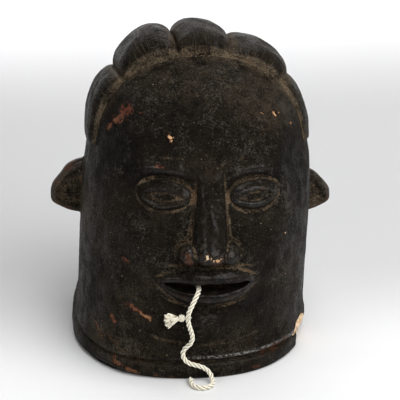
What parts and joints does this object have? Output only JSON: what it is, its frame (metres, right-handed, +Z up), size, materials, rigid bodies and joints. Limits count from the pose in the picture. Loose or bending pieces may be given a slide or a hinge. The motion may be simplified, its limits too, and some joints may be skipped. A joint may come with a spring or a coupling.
{
  "type": "carved wooden helmet mask",
  "caption": "Hollow carved wooden helmet mask with a human face, lobed hair, pierced mouth, ledged rim and a knotted cotton cord.",
  "frame": {"origin": "middle of the mask's bounding box in plan, on the ground plane under its rim; the free cord is not counted", "axes": "+Z up from the rim to the crown, the face looks along -Y, +X is to the viewer's right of the face"},
  "size_m": [0.2421, 0.2575, 0.2616],
  "materials": {
    "carved_wood": "blackened wood, satin and worn, brown dust in the recesses",
    "cotton": "twisted off-white cotton",
    "cotton_fray": "frayed off-white cotton"
  },
  "bodies": {
    "root": {"mask": "carved_wood", "cord": "cotton", "cord_knot": "cotton", "cord_tassel": "cotton_fray"}
  },
  "joints": []
}
